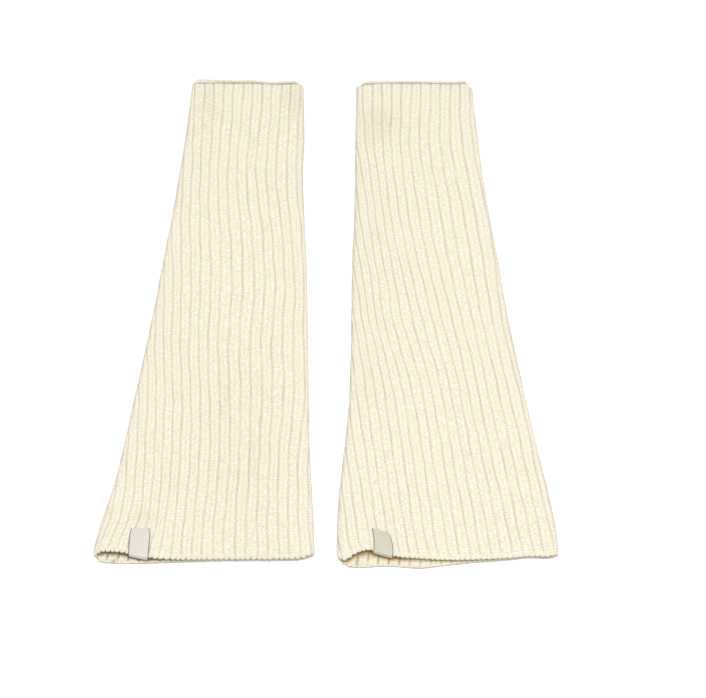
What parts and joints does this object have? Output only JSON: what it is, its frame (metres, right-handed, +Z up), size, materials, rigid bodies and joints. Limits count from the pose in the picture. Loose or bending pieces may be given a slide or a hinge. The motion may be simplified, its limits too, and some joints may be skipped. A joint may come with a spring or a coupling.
{
  "type": "pair of leg warmers",
  "caption": "Rib-knit leg warmers laid flat side by side, each a tapered tube with a woven label folded over its wide hem.",
  "frame": {"origin": "centre of the pair's box, on the surface it lies on", "axes": "+X across the pair, +Y from the wide hems to the narrow ends, +Z up out of the upper layers"},
  "size_m": [0.3582, 0.4384, 0.0097],
  "materials": {
    "cream_knit": "soft matt cotton-blend yarn, rib knitted",
    "woven_label": "smooth woven tape, plain"
  },
  "bodies": {
    "root": {"leg_left": "cream_knit", "leg_right": "cream_knit", "label_left": "woven_label", "label_right": "woven_label"}
  },
  "joints": []
}
